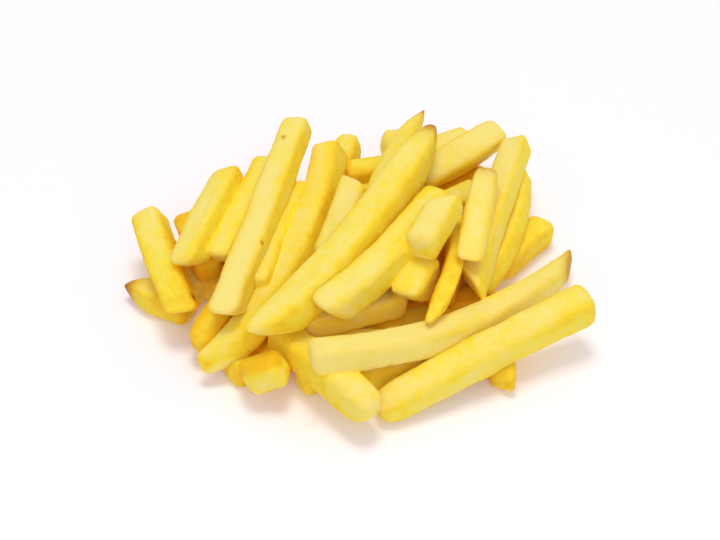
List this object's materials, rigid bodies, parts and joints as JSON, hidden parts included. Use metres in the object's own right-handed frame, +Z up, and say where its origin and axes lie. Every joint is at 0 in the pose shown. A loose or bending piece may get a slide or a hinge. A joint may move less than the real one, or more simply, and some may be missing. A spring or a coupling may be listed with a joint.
{
  "type": "french fries portion",
  "caption": "Loose heap of straight-cut french fries, long and short sticks lying across each other, fused into one solid that rests on a flat underside.",
  "frame": {"origin": "on the surface that the heap lies on, under its middle", "axes": "+Z up, the heap's front towards -Y, +X to the right as seen from the front"},
  "size_m": [0.1569, 0.1389, 0.0435],
  "materials": {
    "fry": "satin, lightly oily"
  },
  "bodies": {
    "root": {"fries": "fry"}
  },
  "joints": []
}
